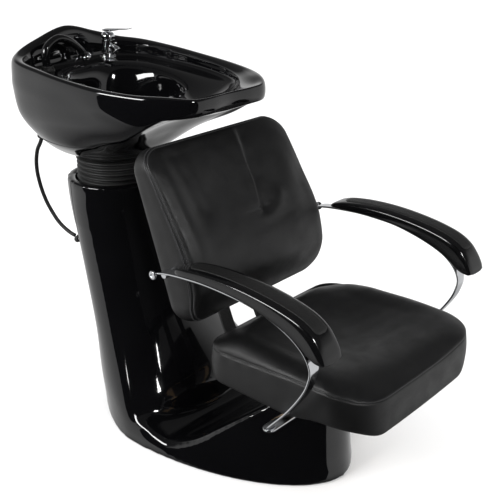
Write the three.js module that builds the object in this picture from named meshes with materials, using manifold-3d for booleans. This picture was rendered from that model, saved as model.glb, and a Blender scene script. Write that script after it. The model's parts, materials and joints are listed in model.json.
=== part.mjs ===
// Shampoo backwash unit: a one-piece base shell with a leaning tower, a tilting wash bowl on a bellows,
// and a fixed salon seat. Millimetres, +Z up. The origin is on the floor under the middle of the unit.
// The sitter faces -Y, and +X is on the sitter's left.
import * as THREE from "three";
import { mergeVertices } from "three/addons/utils/BufferGeometryUtils.js";
import Module from "manifold-3d";

// ---- driving dimensions ----
const WALL = 6; // moulded shell thickness
const GAP = 0.3; // clearance between pieces that touch
const AROUND = 44; // sides of a lofted ring
const ROUND = 28; // sides of a small round piece

const TOWER_TOP = 618; // height of the tower's collar
const TOWER_Y = 420; // centre of the collar
const COLLAR_RADIUS = 137;
const COLLAR_OPENING = 118;
const PEDESTAL_TOP = 294;
const FOOT_WIDE_Y = 108; // where the footprint is widest
const FOOT_HALF_WIDTH = 263;
const FOOT_FRONT = 519; // from the widest place to the front
const FOOT_REAR = 316; // from the widest place to the rear
const FRONT_POWER = 1.82;
const REAR_POWER = 1.6;

const POST_Y = 370; // bowl post
const SEAT_POST_Y = -330;
const SEAT_POST_WIDTH = 70;
const SEAT_POST_DEPTH = 50;
const SEAT_POST_TOP = 304.5;
const TOWER_GLAND = [-106, 472, 441]; // where the hose goes through the tower's rear wall

const PIN_Y = 455; // bowl tilt axis
const PIN_Z = 645;
const BELLOWS_TOP = 684;
const BOWL_NECK_RADIUS = 102;
const BOWL_NECK_Z = 686;
const DRAIN_Y = 385;
const DRAIN_RADIUS = 27;

const SEAM_Z = 405; // seat's side seam
const SEAT_FRONT_DROP = 16; // how much the seam dips at the front edge
const SEAT_REAR_DROP = 18;
const SEAT_HALF_WIDTH = 245;
const SEAT_REAR = -158;
const SEAT_BOTTOM = 315.8; // top of the seat board at its rear
const SEAT_LIP = 302.5; // lowest edge of the cushion at its rear
const SEAT_LIP_RISE = 0.045; // how much that edge rises for each millimetre forward
const SEAT_PITCH = THREE.MathUtils.degToRad(2.6); // the seat's underside rises to the front
const BACK_FOOT = [-51, 392]; // Y and Z of the back board's lower rear edge
const BACK_LEAN = THREE.MathUtils.degToRad(19.3);
const BACK_HEIGHT = 430;
const BACK_HALF_WIDTH = 240;
const BACK_REAR = 11.5; // from the board's rear face to the cushion

const ARM_OUTER_X = 305; // outer edge of the flat arm bar
const ARM_BAR_WIDTH = 30;
const ARM_BAR_THICK = 5;
const ARM_PAD_X = 285; // centre of the pad
const ARM_PAD_WIDTH = 70;

const FAUCET = [85, 530, 916]; // foot of the mixer tap
const FAUCET_LEAN = THREE.MathUtils.degToRad(6);
const HANDSET_FOOT = [-116, 538, 914];

// ---- materials ----
function finish(color, roughness, metalness) {
  return new THREE.MeshStandardMaterial({ color, roughness, metalness });
}
const GLOSS_BLACK = finish(0x0b0b0d, 0.08, 0);
const LEATHER = finish(0x131314, 0.45, 0);
const CHROME = finish(0xd8dadd, 0.08, 1);
const RUBBER = finish(0x17171a, 0.75, 0);
const SATIN_PLASTIC = finish(0x101012, 0.4, 0);
const BLACK_STEEL = finish(0x1b1b1d, 0.4, 0.6);
const ZINC_STEEL = finish(0x8c8f93, 0.35, 0.9);
const PLYWOOD = finish(0xb08a58, 0.7, 0);

// ---- solids ----
const wasm = await Module();
wasm.setup();

function toSolid(geometry) {
  const flat = new THREE.BufferGeometry();
  const source = geometry.index ? geometry.toNonIndexed() : geometry;
  flat.setAttribute("position", source.getAttribute("position"));
  const merged = mergeVertices(flat, 1e-3);
  return new wasm.Manifold(
    new wasm.Mesh({
      numProp: 3,
      vertProperties: new Float32Array(merged.attributes.position.array),
      triVerts: new Uint32Array(merged.index.array),
    }),
  );
}

function toGeometry(solid) {
  const made = solid.getMesh();
  const geometry = new THREE.BufferGeometry();
  geometry.setAttribute("position", new THREE.BufferAttribute(new Float32Array(made.vertProperties), 3));
  geometry.setIndex(new THREE.BufferAttribute(new Uint32Array(made.triVerts), 1));
  return geometry;
}

function cut(geometry, ...tools) {
  let solid = toSolid(geometry);
  for (const tool of tools) solid = solid.subtract(toSolid(tool));
  return toGeometry(solid);
}

function join(geometry, ...others) {
  let solid = toSolid(geometry);
  for (const other of others) solid = solid.add(toSolid(other));
  return toGeometry(solid);
}

// A surface through rings of equal length, either capped at both ends or closed on itself.
function loft(rings, closed = false) {
  const count = rings[0].length;
  const positions = rings.flat().flatMap((point) => [point.x, point.y, point.z]);
  const faces = [];
  const bands = closed ? rings.length : rings.length - 1;
  for (let i = 0; i < bands; i++) {
    const here = i * count;
    const next = ((i + 1) % rings.length) * count;
    for (let j = 0; j < count; j++) {
      const k = (j + 1) % count;
      faces.push(here + j, here + k, next + k, here + j, next + k, next + j);
    }
  }
  if (!closed) {
    const ends = [
      [rings[0], 0, -1],
      [rings[rings.length - 1], (rings.length - 1) * count, 1],
    ];
    for (const [ring, start, side] of ends) {
      const middle = ring.reduce((sum, point) => sum.add(point), new THREE.Vector3()).divideScalar(count);
      const centre = positions.length / 3;
      positions.push(middle.x, middle.y, middle.z);
      for (let j = 0; j < count; j++) {
        const k = (j + 1) % count;
        if (side > 0) faces.push(start + j, start + k, centre);
        else faces.push(start + k, start + j, centre);
      }
    }
  }
  const geometry = new THREE.BufferGeometry();
  geometry.setAttribute("position", new THREE.Float32BufferAttribute(positions, 3));
  geometry.setIndex(faces);
  return geometry;
}

// An egg-shaped level: it reaches from front to rear in Y and is widest at wideY.
// A power of 2 is an ellipse, and less is slimmer.
function level(z, front, wideY, rear, halfWidth, frontPower, rearPower = frontPower) {
  const ring = [];
  for (let j = 0; j < AROUND; j++) {
    const angle = (2 * Math.PI * j) / AROUND;
    const c = Math.cos(angle);
    const s = Math.sin(angle);
    const power = s < 0 ? frontPower : rearPower;
    const reach = s < 0 ? wideY - front : rear - wideY;
    const x = Math.sign(c) * Math.abs(c) ** (2 / power) * halfWidth;
    const y = Math.sign(s) * Math.abs(s) ** (2 / power) * reach + wideY;
    ring.push(new THREE.Vector3(x, y, z));
  }
  return ring;
}

// One level of the whole foot, pulled in by inset all round.
function footLevel(z, inset) {
  const front = FOOT_WIDE_Y - FOOT_FRONT + inset;
  const rear = FOOT_WIDE_Y + FOOT_REAR - inset;
  return level(z, front, FOOT_WIDE_Y, rear, FOOT_HALF_WIDTH - inset, FRONT_POWER, REAR_POWER);
}

// A round-cornered rectangle in XY at height z.
function cornered(halfWidth, front, rear, radius, z) {
  const ring = [];
  const steps = 6;
  const corners = [
    [halfWidth - radius, rear - radius, 0],
    [-halfWidth + radius, rear - radius, 1],
    [-halfWidth + radius, front + radius, 2],
    [halfWidth - radius, front + radius, 3],
  ];
  for (const [x, y, quarter] of corners) {
    for (let i = 0; i <= steps; i++) {
      const angle = (Math.PI / 2) * (quarter + i / steps);
      ring.push(new THREE.Vector3(x + radius * Math.cos(angle), y + radius * Math.sin(angle), z));
    }
  }
  return ring;
}

// The ring with its long straight sides divided evenly: rings of the same layout keep equal counts.
function divided(ring, pieces) {
  const made = [];
  ring.forEach((point, i) => {
    const next = ring[(i + 1) % ring.length];
    const corner = (i + 1) % (ring.length / 4) !== 0;
    const steps = corner ? 1 : pieces;
    for (let k = 0; k < steps; k++) made.push(point.clone().lerp(next, k / steps));
  });
  return made;
}

function box(width, depth, height, x, y, z) {
  return new THREE.BoxGeometry(width, depth, height).translate(x, y, z);
}

// A solid of revolution about Z, from [radius, height] pairs that run up its outside.
function turned(profile, sides = ROUND) {
  const points = profile.map(([radius, height]) => new THREE.Vector2(radius, height));
  return new THREE.LatheGeometry(points, sides).rotateX(Math.PI / 2);
}

function disc(radius, bottom, top, sides = ROUND) {
  return turned([[0, bottom], [radius, bottom], [radius, top], [0, top]], sides);
}

function tubeRing(inner, outer, bottom, top, sides = ROUND) {
  return turned([[inner, bottom], [outer, bottom], [outer, top], [inner, top], [inner, bottom]], sides);
}

// A plate whose outline is drawn in Y and Z, reaching from x to x + width.
function sidePlate(outline, x, width) {
  const geometry = new THREE.ExtrudeGeometry(outline, { depth: width, bevelEnabled: false, curveSegments: 8 });
  const turn = new THREE.Matrix4().makeBasis(
    new THREE.Vector3(0, 1, 0),
    new THREE.Vector3(0, 0, 1),
    new THREE.Vector3(1, 0, 0),
  );
  return geometry.applyMatrix4(turn).translate(x, 0, 0);
}

// The outline of a flat bar that follows a smooth line through [y, z] points.
function barOutline(points, thickness, steps) {
  const line = new THREE.SplineCurve(points.map(([y, z]) => new THREE.Vector2(y, z)));
  const sides = [[], []];
  for (let i = 0; i <= steps; i++) {
    const at = line.getPoint(i / steps);
    const along = line.getTangent(i / steps);
    const across = new THREE.Vector2(-along.y, along.x).multiplyScalar(thickness / 2);
    sides[0].push(at.clone().add(across));
    sides[1].push(at.clone().sub(across));
  }
  return new THREE.Shape([...sides[0], ...sides[1].reverse()]);
}

// A round tube along a smooth line through [x, y, z] points.
function hose(points, radius, steps, sides = 8) {
  const section = new THREE.Shape();
  section.absarc(0, 0, radius, 0, 2 * Math.PI, false);
  const path = new THREE.CatmullRomCurve3(points.map((point) => new THREE.Vector3(...point)));
  const options = { extrudePath: path, steps, curveSegments: sides / 2, bevelEnabled: false };
  return new THREE.ExtrudeGeometry(section, options);
}

const unit = new THREE.Group();

function add(name, geometry, material, parent = unit) {
  const mesh = new THREE.Mesh(geometry, material);
  mesh.name = name;
  parent.add(mesh);
  return mesh;
}

// ---- base ----
// The leaning tower: height, front, widest Y, rear, half-width and squareness of each level.
const TOWER = [
  [-1, 18, 108, 424, 263, 1.6],
  [60, 20, 120, 426, 256, 1.66],
  [104, 30, 150, 428, 243, 1.75],
  [217, 110, 240, 434, 202, 1.9],
  [352, 190, 325, 478, 167, 2],
  [438, 236, 372, 510, 150, 2],
  [552, 281, 415, 549, 137, 2],
  [606, TOWER_Y - COLLAR_RADIUS, TOWER_Y, TOWER_Y + COLLAR_RADIUS, COLLAR_RADIUS, 2],
];

// The saddle's line in Y and Z, from the foot of the tower to the top of the front pedestal.
const SADDLE = [
  [60, 64], [25, 54], [-20, 47], [-90, 78], [-165, 137], [-270, 222], [-328, 270], [-350, PEDESTAL_TOP],
];

function towerSolid(inset, top) {
  const rings = TOWER.map(([z, front, wideY, rear, half, power]) =>
    level(z < 0 ? z - inset : z, front + inset, wideY, rear - inset, half - inset, power),
  );
  const reach = COLLAR_RADIUS - 4 - inset;
  rings.push(level(top, TOWER_Y - reach, TOWER_Y, TOWER_Y + reach, reach, 2));
  return loft(rings);
}

function lowSolid(inset) {
  const body = loft([
    footLevel(-1 - inset, inset),
    footLevel(8, inset),
    footLevel(60, inset + 5),
    footLevel(PEDESTAL_TOP + 2, inset + 22),
  ]);
  const line = new THREE.SplineCurve(SADDLE.map(([y, z]) => new THREE.Vector2(y, z - inset)));
  const outline = new THREE.Shape([
    new THREE.Vector2(460, -20),
    new THREE.Vector2(460, 64 - inset),
    ...line.getPoints(24),
    new THREE.Vector2(-430, PEDESTAL_TOP - inset),
    new THREE.Vector2(-430, -20),
  ]);
  return toSolid(body).intersect(toSolid(sidePlate(outline, -280, 560)));
}

function baseShell() {
  const outer = lowSolid(0).add(toSolid(towerSolid(0, TOWER_TOP)));
  const inner = lowSolid(WALL).add(toSolid(towerSolid(WALL, TOWER_TOP - WALL)));
  const floorCut = toSolid(box(700, 1100, 60, 0, 0, -30));
  const collar = toSolid(disc(COLLAR_OPENING, TOWER_TOP - 40, TOWER_TOP + 20, AROUND).translate(0, TOWER_Y, 0));
  const post = toSolid(box(SEAT_POST_WIDTH + 6, SEAT_POST_DEPTH + 6, 200, 0, SEAT_POST_Y, 250));
  const hoseWay = toSolid(disc(12, -60, 60).rotateX(Math.PI / 2 - 0.5).translate(...TOWER_GLAND));
  return toGeometry(outer.subtract(inner).subtract(floorCut).subtract(collar).subtract(post).subtract(hoseWay));
}

function buildBase() {
  add("base_shell", baseShell(), GLOSS_BLACK);
  const plate = loft([footLevel(0, 20), footLevel(8, 20)]);
  const boltHoles = [[-150, 60], [150, 60], [-110, 300], [110, 300], [-60, -300], [60, -300]];
  const holes = boltHoles.map(([x, y]) => disc(7, -5, 15, 12).translate(x, y, 0));
  add("floor_plate", cut(plate, ...holes), BLACK_STEEL);
  add("bowl_post", tubeRing(26, 30, 8 + GAP, 560).translate(0, POST_Y, 0), BLACK_STEEL);
  add("seat_post", seatPost(), BLACK_STEEL);
  add("post_bracket", postBracket(), ZINC_STEEL);
  const pin = disc(8, -58, 58).rotateY(Math.PI / 2).translate(0, PIN_Y, PIN_Z);
  add("tilt_pin", pin, CHROME);
}

function seatPost() {
  const middle = (8 + GAP + SEAT_POST_TOP) / 2;
  const outside = box(SEAT_POST_WIDTH, SEAT_POST_DEPTH, SEAT_POST_TOP - 8 - GAP, 0, SEAT_POST_Y, middle);
  return cut(outside, box(SEAT_POST_WIDTH - 8, SEAT_POST_DEPTH - 8, 2 * SEAT_POST_TOP, 0, SEAT_POST_Y, middle));
}

// The fork on top of the bowl post: a plate and two ears that carry the tilt pin.
function postBracket() {
  const plate = box(112, 170, 6, 0, 420, 563 + GAP);
  const ear = new THREE.Shape();
  ear.moveTo(PIN_Y - 40, 562);
  ear.lineTo(PIN_Y + 40, 562);
  ear.lineTo(PIN_Y + 18, PIN_Z);
  ear.absarc(PIN_Y, PIN_Z, 18, 0, Math.PI, false);
  ear.lineTo(PIN_Y - 40, 562);
  const pinHole = disc(8 + GAP, -90, 90).rotateY(Math.PI / 2).translate(0, PIN_Y, PIN_Z);
  return cut(join(plate, sidePlate(ear, -54, 6), sidePlate(ear, 48, 6)), pinHole);
}

// ---- bellows and its clamps ----
const BELLOWS_FOLDS = 6;

function buildBellows() {
  const bottom = 592;
  const outside = [];
  const inside = [];
  for (let i = 0; i <= 2 * BELLOWS_FOLDS; i++) {
    const height = bottom + 10 + ((BELLOWS_TOP - bottom - 16) * i) / (2 * BELLOWS_FOLDS);
    const radius = i % 2 ? 108 : 99;
    outside.push([radius, height]);
    inside.unshift([radius - 3, height]);
  }
  const top = [[99, BELLOWS_TOP], [96, BELLOWS_TOP]];
  const profile = [[101, bottom], ...outside, ...top, ...inside, [98, bottom], [101, bottom]];
  add("bellows", turned(profile, 36).translate(0, TOWER_Y, 0), RUBBER);
  add("collar_clamp", tubeRing(101.5, 104.5, 590, 600, 36).translate(0, TOWER_Y, 0), CHROME);
}

// ---- bowl ----
// Half of each ring, from the middle of the front to the middle of the rear; the other half mirrors it.
const RIM_OUTER = [
  [0, -32, 924], [70, -38, 925], [122, -28, 925], [170, 22, 928], [208, 92, 928], [232, 190, 932],
  [240, 300, 938], [238, 412, 946], [224, 530, 954], [174, 592, 963], [104, 610, 983], [0, 612, 1007],
];
const RIM_INNER = [
  [0, -12, 920], [64, -18, 921], [108, -8, 923], [152, 38, 929], [190, 104, 930], [213, 196, 934],
  [221, 302, 940], [219, 406, 948], [205, 518, 956], [158, 575, 965], [94, 592, 985], [0, 594, 1008],
];
const LEDGE = [
  [0, 30, 909], [58, 30, 910], [104, 40, 913], [146, 76, 917], [182, 130, 920], [204, 206, 925],
  [214, 301, 930], [212, 403, 938], [198, 508, 944], [152, 566, 950], [90, 583, 962], [0, 586, 976],
];
const LIP_BOTTOM = [
  [0, -28, 892], [70, -34, 889], [122, -26, 886], [172, 20, 884], [207, 88, 882], [236, 188, 896],
  [243, 300, 904], [243, 414, 910], [230, 529, 916], [184, 590, 924], [110, 611, 936], [0, 612, 950],
];
const WALL_HIGH = [
  [0, 8, 868], [70, 10, 871], [125, 18, 876], [168, 32, 874], [201, 82, 856], [229, 185, 864],
  [243, 300, 872], [245, 416, 876], [230, 527, 880], [188, 589, 884], [112, 611, 890], [0, 612, 892],
];
const WALL_MIDDLE = [
  [0, 108, 846], [70, 109, 844], [125, 112, 838], [166, 120, 828], [194, 146, 810], [223, 226, 814],
  [237, 318, 818], [238, 424, 816], [222, 525, 816], [174, 581, 818], [98, 604, 820], [0, 606, 820],
];
const WALL_LOW = [
  [0, 192, 786], [50, 194, 784], [98, 200, 781], [136, 210, 777], [164, 232, 770], [193, 286, 765],
  [209, 350, 762], [208, 434, 760], [188, 506, 758], [144, 555, 758], [80, 578, 759], [0, 584, 760],
];
const WALL_BOTTOM = [
  [0, 262, 728], [42, 264, 728], [80, 272, 727], [110, 288, 726], [132, 316, 724], [146, 354, 721],
  [152, 398, 717], [149, 452, 712], [132, 500, 708], [100, 533, 707], [53, 550, 706], [0, 556, 706],
];
const DECK_EDGE = [
  [0, 66, 888], [58, 67, 888], [106, 76, 890], [146, 100, 894], [177, 142, 897], [198, 212, 900],
  [206, 300, 904], [204, 400, 908], [191, 498, 912], [149, 554, 914], [90, 574, 914], [0, 578, 914],
];
const BASIN_EDGE = [
  [0, 138, 852], [38, 142, 853], [72, 156, 857], [100, 182, 865], [122, 220, 875], [138, 268, 886],
  [146, 325, 896], [146, 385, 903], [134, 440, 907], [104, 486, 909], [58, 510, 910], [0, 515, 910],
];
const STATIONS = RIM_OUTER.length;

// An oval ring with the same stations as the tables.
function oval(centreY, halfWidth, halfLength, z) {
  const half = [];
  for (let k = 0; k < STATIONS; k++) {
    const angle = -Math.PI / 2 + (Math.PI * k) / (STATIONS - 1);
    half.push([halfWidth * Math.cos(angle), centreY + halfLength * Math.sin(angle), z]);
  }
  return half;
}

// A closed smooth ring from its half table.
function bowlRing(half) {
  const mirrored = half.slice(1, -1).reverse().map(([x, y, z]) => [-x, y, z]);
  const control = [...half, ...mirrored].map((point) => new THREE.Vector3(...point));
  const curve = new THREE.CatmullRomCurve3(control, true, "catmullrom", 0.5);
  return Array.from({ length: AROUND }, (_, j) => curve.getPoint(j / AROUND));
}

// The ring pushed towards the inside of the wall, by the normal of the surface through its neighbours.
function offsetRing(rings, index, distance) {
  const ring = rings[index];
  return ring.map((point, j) => {
    const along = ring[(j + 1) % AROUND].clone().sub(ring[(j + AROUND - 1) % AROUND]);
    const up = rings[Math.min(index + 1, rings.length - 1)][j].clone().sub(rings[Math.max(index - 1, 0)][j]);
    return along.cross(up).normalize().multiplyScalar(-distance).add(point);
  });
}

function bowlShell() {
  const neck = oval(TOWER_Y, BOWL_NECK_RADIUS, BOWL_NECK_RADIUS, BOWL_NECK_Z);
  const skirt = [neck, WALL_BOTTOM, WALL_LOW, WALL_MIDDLE, WALL_HIGH, LIP_BOTTOM];
  const basin = [
    LEDGE,
    DECK_EDGE,
    BASIN_EDGE,
    oval(348, 128, 148, 842),
    oval(362, 112, 126, 796),
    oval(376, 76, 86, 773),
    oval(DRAIN_Y, DRAIN_RADIUS, DRAIN_RADIUS, 768),
  ];
  const skirtRings = skirt.map(bowlRing);
  const basinRings = basin.map(bowlRing);
  const rimRings = [bowlRing(RIM_OUTER), bowlRing(RIM_INNER)];
  const surface = [...skirtRings, ...rimRings, ...basinRings];
  const basinStart = skirtRings.length + rimRings.length;
  const underside = [];
  for (let i = surface.length - 1; i >= basinStart; i--) underside.push(offsetRing(surface, i, WALL));
  const lining = [];
  for (let i = skirtRings.length - 1; i >= 0; i--) lining.push(offsetRing(surface, i, WALL));
  return loft([...surface, ...underside, ...lining], true);
}

// The bracket under the bowl: two ears inside the fork's, hung from a bridge across the neck.
function bowlBracket() {
  const bridge = box(2 * 82, 36, 6, 0, PIN_Y, 693);
  const ear = new THREE.Shape();
  ear.moveTo(PIN_Y - 18, 694);
  ear.lineTo(PIN_Y - 18, PIN_Z);
  ear.absarc(PIN_Y, PIN_Z, 18, Math.PI, 2 * Math.PI, false);
  ear.lineTo(PIN_Y + 18, 694);
  ear.lineTo(PIN_Y - 18, 694);
  const pinHole = disc(8 + GAP, -90, 90).rotateY(Math.PI / 2).translate(0, PIN_Y, PIN_Z);
  return cut(join(bridge, sidePlate(ear, -46, 6), sidePlate(ear, 40, 6)), pinHole);
}

function buildBowl() {
  add("bowl", bowlShell(), GLOSS_BLACK);
  add("bowl_bracket", bowlBracket(), ZINC_STEEL);
  const drain = new THREE.Group();
  drain.position.set(0, DRAIN_Y, 0);
  unit.add(drain);
  add("drain_flange", tubeRing(19, 36, 769.3, 772.5), CHROME, drain);
  add("drain_tail", tubeRing(16, 18.7, 690, 771), CHROME, drain);
  add("drain_nut", cut(disc(32, 738, 746, 6), disc(19, 730, 760)), ZINC_STEEL, drain);
  const cup = [[0, 764], [12, 764], [17, 773.3], [24, 773.3], [24, 775], [16, 775], [11, 766], [0, 766]];
  const basket = turned(cup);
  const slots = [];
  for (let i = 0; i < 6; i++) slots.push(disc(1.8, 755, 780, 8).translate(7, 0, 0).rotateZ((i * Math.PI) / 3));
  add("strainer_basket", cut(basket, ...slots), CHROME, drain);
}

// ---- mixer tap ----
function buildFaucet() {
  const tap = new THREE.Group();
  tap.position.set(...FAUCET);
  tap.rotation.x = FAUCET_LEAN;
  unit.add(tap);
  const ribs = [[0, 0], [24, 0], [24, 4], [21, 5], [21, 8], [23, 9], [23, 12], [20, 13], [20, 16], [0, 16]];
  add("faucet_base", turned(ribs), CHROME, tap);
  add("faucet_body", turned([[0, 16 + GAP], [18, 16 + GAP], [17.5, 60], [0, 60]]), CHROME, tap);
  const spout = hose([[0, -16.5, 40], [0, -34, 40], [0, -44, 36]], 8, 8, 12);
  add("faucet_outlet", cut(spout, disc(18.4, 0, 80)), CHROME, tap);
  add("faucet_cap", turned([[0, 60 + GAP], [18, 60 + GAP], [18.5, 72], [14, 78], [0, 78]]), CHROME, tap);
  const lever = new THREE.Shape();
  lever.moveTo(20, 79);
  lever.lineTo(20, 84);
  lever.quadraticCurveTo(-10, 92, -50, 100);
  lever.quadraticCurveTo(-80, 106, -98, 112);
  lever.quadraticCurveTo(-80, 101, -50, 94);
  lever.quadraticCurveTo(-20, 84, -14, 79);
  lever.lineTo(20, 79);
  add("faucet_lever", sidePlate(lever, -9, 18), CHROME, tap);
}

// ---- spray handset ----
const HANDSET_ARCH = [
  [0, 0, 5], [-2, 0, 20], [-4, 0, 40], [8, 0, 64], [42, 0, 80], [80, 0, 68], [112, 0, 42], [126, 0, 26],
];

function buildHandset() {
  const set = new THREE.Group();
  set.position.set(...HANDSET_FOOT);
  unit.add(set);
  const holder = [[0, 0], [20, 0], [20, 3], [17, 6], [17, 14], [14, 14], [14, 3], [0, 3]];
  add("spray_holder", turned(holder), SATIN_PLASTIC, set);
  add("spray_handset", hose(HANDSET_ARCH, 11, 26, 12), SATIN_PLASTIC, set);
  const end = new THREE.Group();
  end.position.set(126.3, 0, 25.7);
  end.rotation.y = Math.PI - THREE.MathUtils.degToRad(41);
  set.add(end);
  add("spray_rose", turned([[0, 0.4], [11, 0.4], [15, 8], [15, 12], [0, 12]]), CHROME, end);
}

// ---- hose behind the bowl ----
// The route from the gland under the bowl to the gland in the tower's rear wall.
const HOSE_ROUTE = [
  [-148, 550, 743], [-148, 550, 733], [-148, 559, 716], [-148, 575, 694], [-147, 587, 662], [-145, 592, 628],
  [-141, 592, 595], [-136, 588, 562], [-130, 580, 530], [-124, 567, 502], [-119, 550, 478], [-114, 530, 461],
  [-110, 508, 450], [-107, 491, 445],
];
const HOSE_RADIUS = 5.5;

function buildHose() {
  add("spray_hose", hose(HOSE_ROUTE, HOSE_RADIUS, 40, 10), RUBBER);
  const gland = tubeRing(HOSE_RADIUS + GAP, 11.5, -14, 4, 20);
  add("tower_gland", gland.rotateX(Math.PI / 2 - 0.5).translate(...TOWER_GLAND), RUBBER);
  add("bowl_gland", tubeRing(HOSE_RADIUS + 2, 11, 734, 742, 20).translate(-148, 550, 0), RUBBER);
}

// ---- seat ----
function buildSeat() {
  const seat = new THREE.Group();
  seat.position.set(0, SEAT_REAR, SEAT_BOTTOM);
  seat.rotation.x = -SEAT_PITCH;
  unit.add(seat);
  const board = [-12, -GAP].map((z) => cornered(205, -437, -37, 40, z));
  add("seat_board", loft(board), PLYWOOD, seat);
  add("seat_frame", box(300, 316, 5, 0, -197, -12 - GAP - 2.5), BLACK_STEEL, seat);
  // Half-width, front, rear, corner radius, height, and how far the level follows the rise of the lower edge.
  const rings = [
    [SEAT_HALF_WIDTH - 10, -453, -6, 50, SEAT_LIP, 1],
    [SEAT_HALF_WIDTH - 2, -458, -2, 56, SEAT_LIP + 8, 1],
    [SEAT_HALF_WIDTH, -459, 0, 60, SEAT_LIP + 36, 0.6],
    [SEAT_HALF_WIDTH, -459, 0, 62, SEAM_Z, 0],
    [SEAT_HALF_WIDTH - 8, -449, -10, 58, SEAM_Z + 6, 0],
    [SEAT_HALF_WIDTH - 40, -413, -46, 50, SEAM_Z + 13, 0],
    [SEAT_HALF_WIDTH - 110, -337, -116, 40, SEAM_Z + 17, 0],
  ];
  const cushion = rings.map(([half, front, rear, radius, z, share]) =>
    divided(cornered(half, front, rear, radius, z), 8).map((point) => {
      const rise = -point.y * SEAT_LIP_RISE * share;
      const toFront = Math.max(0, -point.y - 347) / 112;
      const toRear = Math.max(0, point.y + 60) / 60;
      const drop = z < SEAM_Z ? 0 : SEAT_FRONT_DROP * toFront ** 2 + SEAT_REAR_DROP * toRear ** 2;
      return new THREE.Vector3(point.x, point.y + SEAT_REAR, point.z + rise - drop);
    }),
  );
  const pocket = box(2 * 205 + 1, 401, 80, 0, -237, -40).rotateX(-SEAT_PITCH);
  pocket.translate(0, SEAT_REAR, SEAT_BOTTOM);
  add("seat_cushion", cut(loft(cushion), pocket), LEATHER);
}

// ---- backrest ----
// Height along the lean and depth of the cushion's front edge, thickest at the small of the back.
const BACK_PROFILE = [
  [0, 62], [30, 92], [60, 110], [90, 122], [150, 129], [190, 126],
  [230, 118], [270, 108], [314, 98], [350, 89], [385, 78], [430, 58],
];

// Its own frame: X across, Y towards the sitter from the board's rear face, Z up along the lean.
function buildBack() {
  const back = new THREE.Group();
  back.position.set(0, BACK_FOOT[0], BACK_FOOT[1]);
  back.rotation.x = -BACK_LEAN;
  unit.add(back);
  const board = new THREE.Matrix4().makeBasis(
    new THREE.Vector3(-1, 0, 0),
    new THREE.Vector3(0, 0, 1),
    new THREE.Vector3(0, 1, 0),
  );
  const level = (half, bottom, top, radius, depth) =>
    cornered(half, bottom, top, radius, depth).map((point) => point.applyMatrix4(board));
  const cushion = [
    [228, 14, BACK_HEIGHT - 8, 44, 0],
    [238, 4, BACK_HEIGHT, 50, 0.2],
    [BACK_HALF_WIDTH, 4, BACK_HEIGHT, 52, 0.6],
    [BACK_HALF_WIDTH, 8, BACK_HEIGHT - 4, 54, 0.92],
    [BACK_HALF_WIDTH - 28, 34, BACK_HEIGHT - 34, 50, 1.03],
    [BACK_HALF_WIDTH - 90, 90, BACK_HEIGHT - 90, 44, 1.06],
  ];
  const seams = new THREE.SplineCurve(BACK_PROFILE.map(([height, depth]) => new THREE.Vector2(height, depth)));
  const line = seams.getPoints(60);
  const nearer = (height) => (best, p) => (Math.abs(p.x - height) < Math.abs(best.x - height) ? p : best);
  const depthAt = (height) => line.reduce(nearer(height)).y;
  const shaped = cushion.map(([half, bottom, top, radius, share]) =>
    divided(level(half, bottom, top, radius, 0), 10).map((point) => {
      const depth = BACK_REAR + share * (depthAt(point.z) - BACK_REAR);
      return new THREE.Vector3(point.x, -depth, point.z);
    }),
  );
  add("back_cushion", loft(shaped.map((ring) => ring.reverse())), LEATHER, back);
  const panel = [0, -11].map((depth) => level(205, 24, BACK_HEIGHT - 24, 40, depth).reverse());
  add("back_board", loft(panel), SATIN_PLASTIC, back);
}

const BRACKET_LINE = [
  [-400, 306], [-300, 301.5], [-190, 296.5], [-124, 298], [-82, 320], [-57, 370], [-31.5, 435], [19, 578],
];

function buildBackBrackets() {
  for (const [side, x] of [["right", -60], ["left", 60]]) {
    add("back_bracket_" + side, sidePlate(barOutline(BRACKET_LINE, 6, 30), x - 19, 38), BLACK_STEEL);
  }
}

// ---- arms ----
const ARM_LINE = [
  [-63, 556], [-78, 567], [-110, 576], [-168, 583.5], [-251, 588.5], [-365, 582.5], [-448, 560.5],
  [-501, 530], [-525, 494], [-521, 458], [-504, 421], [-466, 365], [-414, 303],
];

function armPad() {
  const shape = new THREE.Shape();
  shape.moveTo(-142, 591);
  shape.quadraticCurveTo(-150, 604, -190, 615);
  shape.quadraticCurveTo(-240, 624, -300, 624);
  shape.quadraticCurveTo(-420, 622, -500, 605);
  shape.quadraticCurveTo(-548, 590, -568, 548);
  shape.quadraticCurveTo(-574, 524, -562, 518);
  shape.lineTo(-530, 524);
  shape.quadraticCurveTo(-500, 553, -448, 568);
  shape.quadraticCurveTo(-400, 584, -365, 588);
  shape.quadraticCurveTo(-300, 595, -251, 594);
  shape.quadraticCurveTo(-200, 591.5, -168, 589.5);
  shape.lineTo(-142, 591);
  return shape;
}

// The soft strip let into the top of the pad. The pocket for it is the same outline with its top raised.
function armInset(raise = 0) {
  const shape = new THREE.Shape();
  shape.moveTo(-186, 614 + raise);
  shape.quadraticCurveTo(-240, 625 + raise, -300, 625 + raise);
  shape.quadraticCurveTo(-420, 623 + raise, -500, 605.5 + raise);
  shape.lineTo(-524, 596 + raise);
  shape.lineTo(-524, 592);
  shape.quadraticCurveTo(-420, 612, -300, 614);
  shape.quadraticCurveTo(-240, 614, -186, 606);
  shape.lineTo(-186, 614 + raise);
  return shape;
}

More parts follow.
